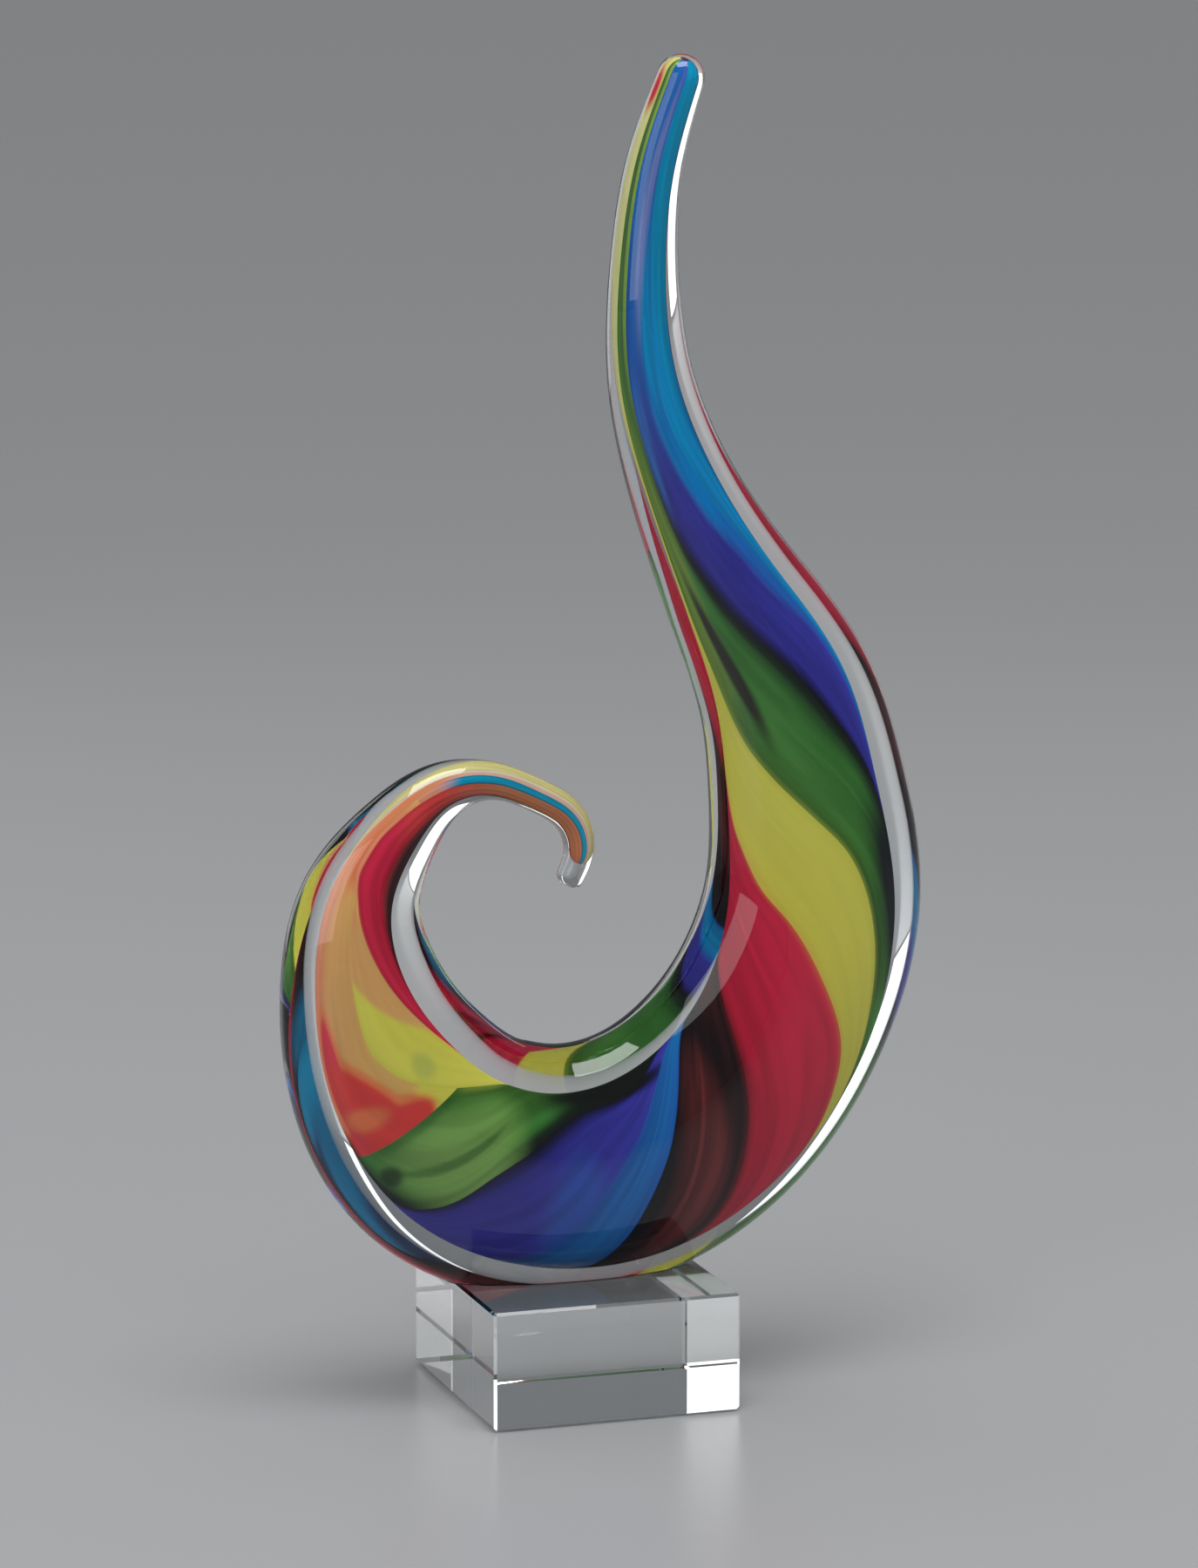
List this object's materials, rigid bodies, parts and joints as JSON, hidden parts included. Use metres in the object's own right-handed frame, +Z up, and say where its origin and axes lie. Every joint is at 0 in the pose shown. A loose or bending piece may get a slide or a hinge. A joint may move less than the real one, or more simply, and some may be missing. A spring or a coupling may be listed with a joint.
{
  "type": "glass wave sculpture",
  "caption": "Hooked wave of clear glass with twisted bands of colour sealed inside it, ground flat under its belly and bonded to a clear cut crystal block.",
  "frame": {"origin": "middle of the crystal block's underside", "axes": "+X to the right along the block's front face, +Y to the back, +Z up"},
  "size_m": [0.1964, 0.08, 0.3917],
  "materials": {
    "crystal": "polished clear crystal",
    "clear_adhesive": "clear cured adhesive",
    "clear_glass": "fire-polished clear glass",
    "azure_glass": "dense coloured glass under the clear casing",
    "cobalt_glass": "dense coloured glass under the clear casing",
    "green_glass": "dense coloured glass under the clear casing",
    "yellow_glass": "dense coloured glass under the clear casing",
    "red_glass": "dense coloured glass under the clear casing",
    "plum_glass": "dense coloured glass under the clear casing",
    "coral_glass": "dense coloured glass under the clear casing",
    "umber_glass": "dense coloured glass under the clear casing",
    "gold_glass": "dense coloured glass under the clear casing",
    "cyan_glass": "dense coloured glass under the clear casing"
  },
  "bodies": {
    "root": {"base_block": "crystal", "bond_film": "clear_adhesive", "clear_casing": "clear_glass", "core_gather": "clear_glass", "azure_band": "azure_glass", "cobalt_band": "cobalt_glass", "green_band": "green_glass", "yellow_band": "yellow_glass", "red_band": "red_glass", "plum_band": "plum_glass", "coral_band": "coral_glass", "umber_band": "umber_glass", "gold_band": "gold_glass", "cyan_band": "cyan_glass"}
  },
  "joints": []
}
